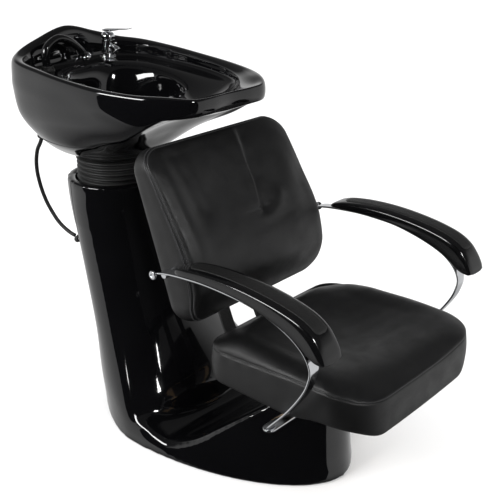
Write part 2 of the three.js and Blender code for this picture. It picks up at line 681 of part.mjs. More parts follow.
function buildArm(side, sign) {
  const place = (x, width) => (sign > 0 ? x : -x - width);
  const barX = place(ARM_OUTER_X - ARM_BAR_WIDTH, ARM_BAR_WIDTH);
  add("arm_bar_" + side, sidePlate(barOutline(ARM_LINE, ARM_BAR_THICK, 60), barX, ARM_BAR_WIDTH), CHROME);
  const padX = place(ARM_PAD_X - ARM_PAD_WIDTH / 2, ARM_PAD_WIDTH);
  const pad = sidePlate(armPad(), padX, ARM_PAD_WIDTH);
  const insetX = place(ARM_PAD_X - 19, 38);
  const pocket = sidePlate(armInset(20), place(ARM_PAD_X - 19.5, 39), 39).translate(0, 0, -GAP);
  add("arm_pad_" + side, cut(pad, pocket), GLOSS_BLACK);
  add("arm_inset_" + side, sidePlate(armInset(), insetX, 38), SATIN_PLASTIC);
  const boss = disc(11, 0, 5).rotateY(Math.PI / 2);
  add("arm_bolt_" + side, boss.translate(place(ARM_OUTER_X + GAP, 5), -70, 562), CHROME);
  const spacer = disc(9, 0, 34).rotateY(Math.PI / 2);
  add("arm_spacer_" + side, spacer.translate(place(240.6, 34), -70, 551), CHROME);
  const tab = new THREE.Shape();
  tab.absarc(0, 0, 15, Math.PI / 2, (3 * Math.PI) / 2, false);
  tab.lineTo(118, -15);
  tab.lineTo(118, 15);
  const foot = new THREE.ExtrudeGeometry(tab, { depth: 5, bevelEnabled: false, curveSegments: 8 });
  if (sign > 0) foot.rotateZ(Math.PI);
  add("arm_foot_" + side, foot.translate(sign * 290, -411, 294), CHROME);
  add("arm_foot_bolt_" + side, disc(7, 299 + GAP, 313.5, 12).translate(sign * 195, -411, 0), ZINC_STEEL);
}

buildBase();
buildBellows();
buildBowl();
buildFaucet();
buildHandset();
buildHose();
buildSeat();
buildBack();
buildBackBrackets();
buildArm("right", -1);
buildArm("left", 1);

export default unit;
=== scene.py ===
"""Looks of the shampoo backwash unit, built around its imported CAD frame.

The row frame is in metres with +Z up, and the sitter faces -Y. Tables of points are in millimetres.
"""
import json
import math
import bmesh
import bpy
import numpy as np
from mathutils import Matrix, Vector

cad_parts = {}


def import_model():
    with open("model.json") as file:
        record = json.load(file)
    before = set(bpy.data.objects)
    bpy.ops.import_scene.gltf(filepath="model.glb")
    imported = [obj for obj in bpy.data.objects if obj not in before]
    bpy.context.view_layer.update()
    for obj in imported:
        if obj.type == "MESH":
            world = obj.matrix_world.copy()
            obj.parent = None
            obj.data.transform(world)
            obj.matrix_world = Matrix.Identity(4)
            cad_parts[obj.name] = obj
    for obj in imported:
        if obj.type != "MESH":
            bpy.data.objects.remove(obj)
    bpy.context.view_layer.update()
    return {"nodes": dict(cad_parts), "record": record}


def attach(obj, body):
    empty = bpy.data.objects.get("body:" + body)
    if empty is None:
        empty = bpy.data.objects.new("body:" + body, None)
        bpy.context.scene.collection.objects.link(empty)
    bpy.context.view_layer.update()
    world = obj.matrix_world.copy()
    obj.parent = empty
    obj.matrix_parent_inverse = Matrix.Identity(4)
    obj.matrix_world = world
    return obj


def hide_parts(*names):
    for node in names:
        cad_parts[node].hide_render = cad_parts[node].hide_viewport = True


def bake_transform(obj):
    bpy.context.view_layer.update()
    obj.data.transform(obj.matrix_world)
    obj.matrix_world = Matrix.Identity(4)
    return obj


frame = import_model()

scene = bpy.context.scene
MM = 0.001

# ---------------------------------------------------------------- camera
CAMERA_PLACE = (-1.509, -1.454, 1.411)
CAMERA_TARGET = (-0.02815, -0.11685, 0.54926)
SENSOR_WIDTH = 36.0
LENS = 63.36
CLIP_END = 100.0
camera = bpy.data.objects.new("camera", bpy.data.cameras.new("camera"))
scene.collection.objects.link(camera)
camera.data.sensor_width = SENSOR_WIDTH
camera.data.lens = LENS
camera.data.clip_end = CLIP_END
camera.location = CAMERA_PLACE
aim = Vector(CAMERA_TARGET) - camera.location
camera.rotation_euler = aim.to_track_quat("-Z", "Y").to_euler()
scene.camera = camera
scene.view_settings.view_transform = "Standard"


# ---------------------------------------------------------------- curves and surfaces
def smooth(points, steps, closed=False):
    """A Catmull-Rom line through the points (rows of an array of any width), steps to each span."""
    p = np.asarray(points, float)
    count = len(p)
    spans = count if closed else count - 1
    at = np.arange(spans * steps + (0 if closed else 1)) / steps
    i = np.minimum(at.astype(int), spans - 1)
    t = (at - i).reshape((-1,) + (1,) * (p.ndim - 1))

    def pick(k):
        if closed:
            return p[k % count]
        low = 2 * p[0] - p[1]
        high = 2 * p[-1] - p[-2]
        whole = np.concatenate([low[None], p, high[None]])
        return whole[np.clip(k + 1, 0, count + 1)]

    a, b, c, d = pick(i - 1), pick(i), pick(i + 1), pick(i + 2)
    return 0.5 * (2 * b + (c - a) * t + (2 * a - 5 * b + 4 * c - d) * t**2 + (3 * b - 3 * c + d - a) * t**3)


def along(points, share):
    """The value at each share (0 to 1) of a smooth line through [share, value] pairs."""
    line = smooth(points, 24)
    return np.interp(share, line[:, 0], line[:, 1])


def make(name, verts, faces, material, body=None, slot=None, replaces=(), flat=False):
    """A mesh object in the row frame, with its material, body and the CAD nodes that it stands for; slot is
    not used.
    """
    mesh = bpy.data.meshes.new(name)
    mesh.from_pydata([tuple(v) for v in np.asarray(verts, float)], [], faces)
    mesh.validate()
    if not flat:
        mesh.polygons.foreach_set("use_smooth", [True] * len(mesh.polygons))
    obj = bpy.data.objects.new(name, mesh)
    scene.collection.objects.link(obj)
    obj.data.materials.append(material)
    return settle(obj, body, replaces)


def settle(obj, body, replaces=()):
    """Says which body a piece rides on, and the CAD nodes that it stands for."""
    if body:
        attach(obj, body)
    if replaces:
        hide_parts(*replaces)
    return obj


def loft(rings, close_ends=(True, True), closed=False):
    """Vertices and faces of a surface through rings, an array of (rings, points, 3)."""
    rings = np.asarray(rings, float)
    count, around = rings.shape[:2]
    verts = rings.reshape(-1, 3).tolist()
    faces = []
    for i in range(count if closed else count - 1):
        here = i * around
        after = ((i + 1) % count) * around
        for j in range(around):
            k = (j + 1) % around
            faces.append((here + j, here + k, after + k, after + j))
    if not closed:
        for end, cap in ((0, close_ends[0]), (count - 1, close_ends[1])):
            if not cap:
                continue
            verts.append(rings[end].mean(0).tolist())
            middle = len(verts) - 1
            for j in range(around):
                a, b = end * around + j, end * around + (j + 1) % around
                faces.append((middle, b, a) if end == 0 else (middle, a, b))
    return verts, faces


def turned(profile, centre=(0, 0, 0), around=64, turn=None, soft=0):
    """A surface of revolution about Z from [radius, height] pairs in millimetres that run up its outside."""
    line = np.asarray(profile, float)
    if soft:
        line = rounded(line, soft)
    angle = np.linspace(0, 2 * math.pi, around, endpoint=False)
    rings = np.stack(
        [np.stack([r * np.cos(angle), r * np.sin(angle), np.full(around, z)], 1) for r, z in line]
    )
    rings = rings.reshape(-1, 3) * MM
    if turn is not None:
        rings = rings @ np.array(turn.to_3x3()).T
    rings = rings.reshape(len(line), around, 3) + np.array(centre) * MM
    ends = (line[0][0] > 1e-6, line[-1][0] > 1e-6)
    return loft(rings, ends)


def rounded(line, radius, steps=4, closed=False):
    """The line of points with each corner rounded off by up to radius."""
    made = []
    count = len(line)
    for i in range(count):
        if not closed and i in (0, count - 1):
            made.append(line[i])
            continue
        before, here, after = line[i - 1], line[i], line[(i + 1) % count]
        reach_a = min(radius, 0.45 * np.linalg.norm(before - here))
        reach_b = min(radius, 0.45 * np.linalg.norm(after - here))
        a = here + (before - here) / max(np.linalg.norm(before - here), 1e-9) * reach_a
        b = here + (after - here) / max(np.linalg.norm(after - here), 1e-9) * reach_b
        for t in np.linspace(0, 1, steps + 1):
            made.append((1 - t) ** 2 * a + 2 * t * (1 - t) * here + t**2 * b)
    return np.array(made)


def tube(points, radius, around=20, radii=None):
    """A round tube, closed at both ends, along a dense line of points in metres."""
    p = np.asarray(points, float)
    along_line = np.gradient(p, axis=0)
    along_line /= np.linalg.norm(along_line, axis=1)[:, None]
    side = np.cross(along_line[0], [0.3, 0.9, 0.2])
    side /= np.linalg.norm(side)
    rings = []
    for i, (at, way) in enumerate(zip(p, along_line)):
        side = side - way * (side @ way)
        side /= np.linalg.norm(side)
        up = np.cross(way, side)
        angle = np.linspace(0, 2 * math.pi, around, endpoint=False)[:, None]
        r = radius if radii is None else radii[i]
        rings.append(at + r * (np.cos(angle) * side + np.sin(angle) * up))
    return loft(rings)


def side_sweep(line, widths, heights, centre_x, corner, around):
    """A bar with a rounded-rectangle section that follows a [y, z] line in metres at centre_x."""
    line = np.asarray(line, float)
    way = np.gradient(line, axis=0)
    way /= np.linalg.norm(way, axis=1)[:, None]
    angle = np.linspace(0, 2 * math.pi, around, endpoint=False)
    power = 2 * corner
    across = np.sign(np.cos(angle)) * np.abs(np.cos(angle)) ** power
    upward = np.sign(np.sin(angle)) * np.abs(np.sin(angle)) ** power
    rings = []
    for (y, z), (ty, tz), w, h in zip(line, way, widths, heights):
        x = centre_x + across * w / 2
        off = upward * h / 2
        rings.append(np.stack([x, y - tz * off, z + ty * off], 1))
    return loft(rings)


def modify(obj, kind, **settings):
    """Adds a modifier and applies it at once."""
    modifier = obj.modifiers.new(kind, kind)
    for key, value in settings.items():
        setattr(modifier, key, value)
    depsgraph = bpy.context.evaluated_depsgraph_get()
    mesh = bpy.data.meshes.new_from_object(obj.evaluated_get(depsgraph))
    obj.modifiers.clear()
    old = obj.data
    obj.data = mesh
    bpy.data.meshes.remove(old)
    obj.data.polygons.foreach_set("use_smooth", [True] * len(obj.data.polygons))


# ---------------------------------------------------------------- materials
def material(name):
    """A new node material with its nodes, its links and its shader."""
    made = bpy.data.materials.new(name)
    made.use_nodes = True
    nodes, links = made.node_tree.nodes, made.node_tree.links
    return made, nodes, links, nodes["Principled BSDF"]


def noise(nodes, links, where, scale, detail=3.0, stretch=None):
    """The strength of a noise, stretched along the axes if stretch is given."""
    node = nodes.new("ShaderNodeTexNoise")
    node.inputs["Scale"].default_value = scale
    node.inputs["Detail"].default_value = detail
    if stretch:
        mapping = nodes.new("ShaderNodeMapping")
        mapping.inputs["Scale"].default_value = stretch
        links.new(where, mapping.inputs["Vector"])
        where = mapping.outputs["Vector"]
    links.new(where, node.inputs["Vector"])
    return node.outputs["Fac"]


def spread(nodes, links, value, low, high, from_low=0.3, from_high=0.7):
    """A value from from_low to from_high, spread over low to high."""
    node = nodes.new("ShaderNodeMapRange")
    node.inputs["From Min"].default_value = from_low
    node.inputs["From Max"].default_value = from_high
    node.inputs["To Min"].default_value = low
    node.inputs["To Max"].default_value = high
    links.new(value, node.inputs["Value"])
    return node.outputs["Result"]


def two_colours(nodes, links, value, dark, light):
    """A mix of two colours by a value."""
    node = nodes.new("ShaderNodeMix")
    node.data_type = "RGBA"
    node.inputs["A"].default_value = (*dark, 1)
    node.inputs["B"].default_value = (*light, 1)
    links.new(value, node.inputs["Factor"])
    return node.outputs["Result"]


def bump(nodes, links, shader, layers):
    """Adds bump layers, each (height output, strength, distance in metres), to the shader's normal."""
    last = None
    for height, strength, distance in layers:
        node = nodes.new("ShaderNodeBump")
        node.inputs["Strength"].default_value = strength
        node.inputs["Distance"].default_value = distance
        links.new(height, node.inputs["Height"])
        if last:
            links.new(last, node.inputs["Normal"])
        last = node.outputs["Normal"]
    links.new(last, shader.inputs["Normal"])


def moulded(name, dark, light, roughness, peel=0.02, coat=0.0, metallic=0.0, scale=9.0, specular=0.5):
    """Moulded, lacquered, plated or painted stuff: a mottled colour, uneven roughness and a faint ripple."""
    made, nodes, links, shader = material(name)
    where = nodes.new("ShaderNodeTexCoord").outputs["Object"]
    mottle = noise(nodes, links, where, scale)
    fine = noise(nodes, links, where, scale * 14, 2.0)
    links.new(two_colours(nodes, links, mottle, dark, light), shader.inputs["Base Color"])
    links.new(spread(nodes, links, fine, *roughness), shader.inputs["Roughness"])
    shader.inputs["Metallic"].default_value = metallic
    shader.inputs["Specular IOR Level"].default_value = specular
    shader.inputs["Coat Weight"].default_value = coat
    shader.inputs["Coat Roughness"].default_value = 0.03
    bump(nodes, links, shader, [(mottle, peel, 0.004), (fine, peel, 0.0004)])
    return made


def leatherette(name, dark, light, roughness=(0.36, 0.5)):
    """Grained artificial leather: small cells with creases between them, over soft ripples."""
    made, nodes, links, shader = material(name)
    where = nodes.new("ShaderNodeTexCoord").outputs["Object"]
    cells = nodes.new("ShaderNodeTexVoronoi")
    cells.feature = "DISTANCE_TO_EDGE"
    cells.inputs["Scale"].default_value = 620.0
    warp = nodes.new("ShaderNodeTexNoise")
    warp.inputs["Scale"].default_value = 300.0
    links.new(where, warp.inputs["Vector"])
    mixed = nodes.new("ShaderNodeMix")
    mixed.data_type = "VECTOR"
    mixed.inputs["Factor"].default_value = 0.0015
    links.new(where, mixed.inputs["A"])
    links.new(warp.outputs["Color"], mixed.inputs["B"])
    links.new(mixed.outputs["Result"], cells.inputs["Vector"])
    grain = spread(nodes, links, cells.outputs["Distance"], 0, 1, 0.0, 0.25)
    ripple = noise(nodes, links, where, 26.0, 4.0)
    wear = noise(nodes, links, where, 6.0, 3.0)
    links.new(two_colours(nodes, links, wear, dark, light), shader.inputs["Base Color"])
    links.new(spread(nodes, links, ripple, *roughness), shader.inputs["Roughness"])
    bump(nodes, links, shader, [(ripple, 0.12, 0.004), (grain, 0.35, 0.00025)])
    shader.inputs["Specular IOR Level"].default_value = 0.5
    return made


GLOSS = moulded(
    "gloss_black_shell", (0.0010, 0.0010, 0.0012), (0.0022, 0.0022, 0.0026), (0.035, 0.075), 0.03, coat=0.25
)
LACQUER = moulded(
    "lacquered_arm", (0.0012, 0.0012, 0.0014), (0.0028, 0.0028, 0.003), (0.08, 0.16), 0.04, scale=16
)
LEATHER = leatherette("black_leatherette", (0.0012, 0.0012, 0.0013), (0.0034, 0.0034, 0.0036))
PIPING = leatherette("leatherette_piping", (0.006, 0.006, 0.0065), (0.014, 0.014, 0.0145), (0.3, 0.42))
THREAD = moulded(
    "stitching_thread", (0.03, 0.03, 0.032), (0.09, 0.09, 0.095), (0.45, 0.6), 0.3, scale=300
)
CHROME = moulded(
    "chrome_plating", (0.62, 0.63, 0.65), (0.74, 0.75, 0.77), (0.05, 0.12), 0.01, metallic=1.0, scale=30
)
RUBBER = moulded(
    "black_rubber", (0.004, 0.004, 0.004), (0.010, 0.010, 0.010), (0.42, 0.6), 0.25, scale=60
)
ARM_SOFT = moulded(
    "soft_arm_strip", (0.002, 0.002, 0.002), (0.005, 0.005, 0.005), (0.42, 0.58), 0.35, scale=240
)
SATIN = moulded(
    "satin_black_plastic", (0.003, 0.003, 0.003), (0.008, 0.008, 0.008), (0.28, 0.4), 0.15, scale=70
)
STEEL = moulded(
    "black_powder_coated_steel", (0.004, 0.004, 0.004), (0.010, 0.010, 0.010), (0.38, 0.55), 0.3, scale=150
)
ZINC = moulded(
    "zinc_plated_steel", (0.34, 0.35, 0.36), (0.52, 0.53, 0.54), (0.25, 0.42), 0.12, metallic=1.0, scale=45
)


def plywood(name):
    """Birch plywood: long grain over the edges of its plies."""
    made, nodes, links, shader = material(name)
    where = nodes.new("ShaderNodeTexCoord").outputs["Object"]
    grain = noise(nodes, links, where, 14.0, 6.0, (14, 1, 1))
    plies = nodes.new("ShaderNodeTexWave")
    plies.bands_direction = "Z"
    plies.inputs["Scale"].default_value = 90.0
    links.new(where, plies.inputs["Vector"])
    birch = two_colours(nodes, links, grain, (0.30, 0.18, 0.09), (0.52, 0.36, 0.20))
    links.new(birch, shader.inputs["Base Color"])
    links.new(spread(nodes, links, grain, 0.55, 0.8), shader.inputs["Roughness"])
    bump(nodes, links, shader, [(grain, 0.3, 0.0006), (plies.outputs["Fac"], 0.2, 0.0004)])
    return made


BY_SLOT = {
    "gloss_shell": GLOSS,
    "leatherette": LEATHER,
    "chrome": CHROME,
    "rubber": RUBBER,
    "arm_lacquer": LACQUER,
    "arm_soft": ARM_SOFT,
    "satin_plastic": SATIN,
    "black_steel": STEEL,
    "zinc_steel": ZINC,
    "plywood": plywood("birch_plywood"),
}

# ---------------------------------------------------------------- hose behind the bowl
HOSE_ROUTE = [
    (-148, 550, 743), (-148, 550, 733), (-148, 559, 716), (-148, 575, 694), (-147, 587, 662),
    (-145, 592, 628), (-141, 592, 595), (-136, 588, 562), (-130, 580, 530), (-124, 567, 502),
    (-119, 550, 478), (-114, 530, 461), (-110, 508, 450), (-107, 491, 445),
]
HOSE_DIAMETER = 0.011
hose_line = smooth(np.array(HOSE_ROUTE) * MM, 8)
hose = make("spray_hose_tube", *tube(hose_line, HOSE_DIAMETER / 2, 20), RUBBER)
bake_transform(hose)
settle(hose, None, ["spray_hose"])

# ---------------------------------------------------------------- base shell
SHELL_WALL = 0.0045
TOWER_Y = 420
COLLAR_RADIUS = 137
TOWER_TOP = 618
WELL_RADIUS, WELL_FLOOR = 112, 560
VOXEL = 0.0052
SMOOTH_PASSES = 22
BLEND_FROM, BLEND_TO = 0.03, 0.50
BLEND_PASSES = 55
OPEN_BELOW = 0.0012
FLOOR_FACE_RADIUS = 0.108
FLOOR_FACE_LOW, FLOOR_FACE_HIGH = 0.54, 0.58
# Height, front, widest y, rear, half width and the power of the egg at each level.
TOWER = [
    (-1, 18, 108, 424, 263, 1.6),
    (60, 20, 120, 426, 256, 1.66),
    (104, 30, 150, 428, 243, 1.75),
    (217, 110, 240, 434, 202, 1.9),
    (352, 190, 325, 478, 167, 2),
    (438, 236, 372, 510, 150, 2),
    (552, 281, 415, 549, 137, 2),
    (TOWER_TOP + 6, TOWER_Y - COLLAR_RADIUS, TOWER_Y, TOWER_Y + COLLAR_RADIUS, COLLAR_RADIUS, 2),
]
# The low body's top, as [y, z] from the tower to the front.
SADDLE = [(60, 64), (25, 54), (-20, 47), (-90, 78), (-165, 137), (-270, 222), (-328, 270), (-350, 294)]
# Widest y, reach to the front and to the rear, half width, and the powers of its front and rear.
FOOT = (108, 519, 316, 263, 1.82, 1.6)


def egg(z, front, wide_y, rear, half, front_power, rear_power, around=200):
    """An egg-shaped level, widest at wide_y."""
    angle = np.linspace(0, 2 * math.pi, around, endpoint=False)
    c, s = np.cos(angle), np.sin(angle)
    power = np.where(s < 0, front_power, rear_power)
    reach = np.where(s < 0, wide_y - front, rear - wide_y)
    x = np.sign(c) * np.abs(c) ** (2 / power) * half
    y = np.sign(s) * np.abs(s) ** (2 / power) * reach + wide_y
    return np.stack([x, y, np.full(around, z)], 1)


def foot_level(z, inset):
    """A level of the low body, drawn in by inset."""
    wide_y, front, rear, half, front_power, rear_power = FOOT
    start, end = wide_y - front + inset, wide_y + rear - inset
    return egg(z, start, wide_y, end, half - inset, front_power, rear_power)


def base_shell():
    """The tower and the low body, joined, softened where they meet, and hollowed to a shell."""
    levels = smooth(TOWER, 8)
    tower = [egg(z, front, wide, rear, half, power, power) for z, front, wide, rear, half, power in levels]
    tower = make("base_shell_moulding", *loft(np.array(tower) * MM), GLOSS)
    low = [foot_level(-1, 0), foot_level(8, 0), foot_level(30, 2), foot_level(60, 5), foot_level(180, 13)]
    low += [foot_level(250, 18), foot_level(300, 22)]
    low = make("low", *loft(np.array(low) * MM), GLOSS)
    line = smooth(SADDLE, 8)
    outline = [(430, -20), (430, 64)] + line.tolist() + [(-440, 294), (-440, -20)]
    count = len(outline)
    sides = [(j, (j + 1) % count, count + (j + 1) % count, count + j) for j in range(count)]
    ends = [tuple(range(count))[::-1], tuple(range(count, 2 * count))]
    verts = np.array([(x, y, z) for x in (-300, 300) for y, z in outline]) * MM
    saddle = make("saddle", verts, sides + ends, GLOSS)
    bpy.context.view_layer.update()
    modify(low, "BOOLEAN", operation="INTERSECT", object=saddle, solver="EXACT")
    modify(tower, "BOOLEAN", operation="UNION", object=low, solver="EXACT")
    hole = [[0, WELL_FLOOR], [WELL_RADIUS, WELL_FLOOR], [WELL_RADIUS, 700], [0, 700]]
    well = make("well", *turned(hole, (0, TOWER_Y, 0)), GLOSS)
    bpy.context.view_layer.update()
    modify(tower, "BOOLEAN", operation="DIFFERENCE", object=well, solver="EXACT")
    for helper in (low, saddle, well):
        bpy.data.objects.remove(helper)
    modify(tower, "REMESH", mode="VOXEL", voxel_size=VOXEL)
    modify(tower, "SMOOTH", factor=0.5, iterations=SMOOTH_PASSES)
    work = bmesh.new()
    work.from_mesh(tower.data)
    lower = [v for v in work.verts if BLEND_FROM < v.co.z < BLEND_TO]
    axes = {"use_axis_x": True, "use_axis_y": True, "use_axis_z": True}
    for _ in range(BLEND_PASSES):
        bmesh.ops.smooth_vert(work, verts=lower, factor=0.5, **axes)
    everything = work.verts[:] + work.edges[:] + work.faces[:]
    bmesh.ops.bisect_plane(
        work, geom=everything, plane_co=(0, 0, OPEN_BELOW), plane_no=(0, 0, -1), clear_outer=True
    )
    bottom = [f for f in work.faces if f.normal.z < -0.7 and f.calc_center_median().z < 0.004]
    well_floor = []
    for face in work.faces:
        at = face.calc_center_median()
        inside = math.hypot(at.x, at.y - TOWER_Y * MM) < FLOOR_FACE_RADIUS
        if inside and face.normal.z > 0.6 and FLOOR_FACE_LOW < at.z < FLOOR_FACE_HIGH:
            well_floor.append(face)
    bmesh.ops.delete(work, geom=bottom + well_floor, context="FACES")
    work.to_mesh(tower.data)
    work.free()
    modify(tower, "SOLIDIFY", thickness=SHELL_WALL, offset=-1.0)
    settle(tower, "stand", ["base_shell"])


base_shell()

# ---------------------------------------------------------------- bowl
# Half rings, from the middle of the front to the middle of the rear; the other half mirrors them.
NECK_TOP = 686
WALL_BOTTOM = [
    (0, 262, 728), (42, 264, 728), (80, 272, 727), (110, 288, 726), (132, 316, 724), (146, 354, 721),
    (152, 398, 717), (149, 452, 712), (132, 500, 708), (100, 533, 707), (53, 550, 706), (0, 556, 706),
]
WALL_LOW = [
    (0, 192, 786), (50, 194, 784), (98, 200, 781), (136, 210, 777), (164, 232, 770), (193, 286, 765),
    (209, 350, 762), (208, 434, 760), (188, 506, 758), (144, 555, 758), (80, 578, 759), (0, 584, 760),
]
WALL_MIDDLE = [
    (0, 108, 846), (70, 109, 844), (125, 112, 838), (166, 120, 828), (194, 146, 810), (223, 226, 814),
    (237, 318, 818), (238, 424, 816), (222, 525, 816), (174, 581, 818), (98, 604, 820), (0, 606, 820),
]
WALL_HIGH = [
    (0, 8, 868), (70, 10, 871), (125, 18, 876), (168, 32, 874), (201, 82, 856), (229, 185, 864),
    (243, 300, 872), (245, 416, 876), (230, 527, 880), (188, 589, 884), (112, 611, 890), (0, 612, 892),
]
LIP_BOTTOM = [
    (0, -28, 892), (70, -34, 889), (122, -26, 886), (172, 20, 884), (207, 88, 882), (236, 188, 896),
    (243, 300, 904), (243, 414, 910), (230, 529, 916), (184, 590, 924), (110, 611, 936), (0, 612, 950),
]
RIM_OUTER = [
    (0, -32, 924), (70, -38, 925), (122, -28, 925), (170, 22, 928), (208, 92, 928), (232, 190, 932),
    (240, 300, 938), (238, 412, 946), (224, 530, 954), (174, 592, 963), (104, 610, 983), (0, 612, 1007),
]
RIM_INNER = [
    (0, -12, 920), (64, -18, 921), (108, -8, 923), (152, 38, 929), (190, 104, 930), (213, 196, 934),
    (221, 302, 940), (219, 406, 948), (205, 518, 956), (158, 575, 965), (94, 592, 985), (0, 594, 1008),
]
LEDGE = [
    (0, 30, 909), (58, 30, 910), (104, 40, 913), (146, 76, 917), (182, 130, 920), (204, 206, 925),
    (214, 301, 930), (212, 403, 938), (198, 508, 944), (152, 566, 950), (90, 583, 962), (0, 586, 976),
]
DECK_EDGE = [
    (0, 66, 888), (58, 67, 888), (106, 76, 890), (146, 100, 894), (177, 142, 897), (198, 212, 900),
    (206, 300, 904), (204, 400, 908), (191, 498, 912), (149, 554, 914), (90, 574, 914), (0, 578, 914),
]
BASIN_EDGE = [
    (0, 138, 852), (38, 142, 853), (72, 156, 857), (100, 182, 865), (122, 220, 875), (138, 268, 886),
    (146, 325, 896), (146, 385, 903), (134, 440, 907), (104, 486, 909), (58, 510, 910), (0, 515, 910),
]
STATIONS = len(RIM_OUTER)


def oval(centre_y, half_width, half_length, z):
    """Half of an oval ring, with as many stations as the tables above."""
    angle = -math.pi / 2 + math.pi * np.arange(STATIONS) / (STATIONS - 1)
    x = half_width * np.cos(angle)
    return np.stack([x, centre_y + half_length * np.sin(angle), np.full(STATIONS, z)], 1)


def whole_ring(half, steps=8):
    """A smooth closed ring from one half and its mirror image."""
    half = np.array(half, float)
    mirrored = half[-2:0:-1] * (-1, 1, 1)
    return smooth(np.concatenate([half, mirrored]), steps, closed=True)


def bowl_shell():
    """One smooth sheet from the neck over the rim and down to the drain, thickened inwards."""
    tables = [oval(TOWER_Y, 102, 102, NECK_TOP), WALL_BOTTOM, WALL_LOW, WALL_MIDDLE, WALL_HIGH, LIP_BOTTOM]
    tables += [RIM_OUTER, RIM_INNER, LEDGE, DECK_EDGE, BASIN_EDGE]
    tables += [oval(348, 128, 148, 842), oval(362, 112, 126, 796)]
    tables += [oval(376, 76, 86, 773), oval(385, 27, 27, 768)]
    rings = np.array([whole_ring(table) for table in tables])
    fine = smooth(rings, 8)
    verts, faces = loft(fine * MM, (False, False))
    bowl = make("bowl_moulding", verts, faces, GLOSS)
    modify(bowl, "SOLIDIFY", thickness=SHELL_WALL, offset=-1.0)
    settle(bowl, "bowl", ["bowl"])


bowl_shell()


# ---------------------------------------------------------------- bellows and its clamp
BELLOWS_RADIUS, FOLD_DEPTH, SLEEVE_WALL = 98.5, 9.0, 2.5


def bellows():
    """A rubber sleeve in soft folds, uneven all round."""
    bottom, top, folds = 588.0, 686.0, 7
    height = np.linspace(bottom, top, folds * 12 + 1)
    wave = 0.5 - 0.5 * np.cos((height - bottom) / (top - bottom) * folds * 2 * math.pi)
    outside = np.stack([BELLOWS_RADIUS + FOLD_DEPTH * wave**0.8, height], 1)
    inside = outside[::-1] - (SLEEVE_WALL, 0)
    angle = np.linspace(0, 2 * math.pi, 96, endpoint=False)
    rings = []
    for radius, z in np.concatenate([outside, inside]):
        wobble = radius + 0.8 * np.sin(3 * angle + z * 0.11)
        sag = z + 1.6 * np.sin(angle + 0.8) * np.sin((z - bottom) / (top - bottom) * math.pi)
        rings.append(np.stack([wobble * np.cos(angle), wobble * np.sin(angle) + TOWER_Y, sag], 1))
    sleeve = make("bellows_sleeve", *loft(np.array(rings) * MM, closed=True), RUBBER)
    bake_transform(sleeve)
    settle(sleeve, None, ["bellows"])


bellows()
CLAMP = [[101.2, 590.5], [104.5, 590.5], [105.2, 595], [104.5, 599.5], [101.2, 599.5]]


# ---------------------------------------------------------------- small turned and bevelled pieces
def closed_ring(profile, centre, around=72, turn=None, soft=0.6):
    """A ring or washer turned from a closed [radius, height] outline."""
    line = rounded(np.asarray(profile, float), soft, 3, closed=True)
    angle = np.linspace(0, 2 * math.pi, around, endpoint=False)
    rings = []
    for radius, z in line:
        rings.append(np.stack([radius * np.cos(angle), radius * np.sin(angle), np.full(around, z)], 1))
    rings = np.array(rings).reshape(-1, 3) * MM
    if turn is not None:
        rings = rings @ np.array(turn.to_3x3()).T
    rings = rings.reshape(len(line), around, 3) + np.array(centre) * MM
    return loft(rings, closed=True)


make("collar_clamp_band", *closed_ring(CLAMP, (0, TOWER_Y, 0)), CHROME, "stand", "chrome", ["collar_clamp"])
DRAIN = (0, 385, 0)
flange = [[19, 769.5], [36, 769.5], [35, 772.3], [24, 772.0], [20.5, 770.6]]
make("drain_flange_ring", *closed_ring(flange, DRAIN), CHROME, "bowl", "chrome", ["drain_flange"])
basket = [[0, 764], [12, 764], [17, 773.4], [24, 773.4], [24, 775], [16, 775], [11, 766], [0, 766]]
make("strainer_cup", *turned(basket, DRAIN, soft=1.0), CHROME, "strainer", "chrome")
FAUCET = (85, 530, 916)
LEAN = Matrix.Rotation(math.radians(6), 4, "X")
ribs = [[0, 0], [24, 0], [24, 4], [21, 5], [21, 8], [23.4, 9], [23.4, 12], [20.4, 13], [20, 16], [0, 16]]
ribbed = turned(ribs, FAUCET, turn=LEAN, soft=0.8)
make("faucet_ribbed_foot", *ribbed, CHROME, "bowl", "chrome", ["faucet_base"])
barrel = [[0, 16.3], [18.4, 16.3], [17.8, 22], [17.2, 40], [17.2, 58], [18, 60], [0, 60]]
make("faucet_barrel", *turned(barrel, FAUCET, turn=LEAN, soft=1.2), CHROME, "bowl", "chrome", ["faucet_body"])
crown = [[0, 60.4], [18, 60.4], [18.8, 63], [18.6, 71], [15, 77], [8, 78.6], [0, 79]]
make("faucet_crown", *turned(crown, FAUCET, turn=LEAN, soft=1.6), CHROME, "tap_cap", "chrome", ["faucet_cap"])


def leaning(points):
    """Points of the tap's own frame, in millimetres, as metres in the row frame."""
    return (np.asarray(points, float) @ np.array(LEAN.to_3x3()).T + np.array(FAUCET)) * MM


def faucet_lever():
    """A slim curved blade that tapers to its tip."""
    top = smooth([(20, 82), (8, 87), (-10, 91), (-50, 99.5), (-80, 105.5), (-98, 111)], 8)
    low = smooth([(20, 80), (4, 79.6), (-16, 84), (-50, 95), (-80, 102.5), (-98, 109.6)], 8)
    share = np.linspace(0, 1, len(top))
    half = along([(0, 6.5), (0.12, 9), (0.5, 8.4), (0.85, 7.2), (1, 4.0)], share)
    angle = np.linspace(0, 2 * math.pi, 28, endpoint=False)
    across = np.sign(np.cos(angle)) * np.abs(np.cos(angle)) ** 0.6
    upward = 0.5 + 0.5 * np.sign(np.sin(angle)) * np.abs(np.sin(angle)) ** 0.8
    rings = []
    for (ty, tz), (ly, lz), w in zip(top, low, half):
        y = ly + (ty - ly) * upward
        z = lz + (tz - lz) * upward
        rings.append(leaning(np.stack([across * w, y, z], 1)))
    make("faucet_blade", *loft(rings), CHROME, "tap_lever", "chrome", ["faucet_lever"])


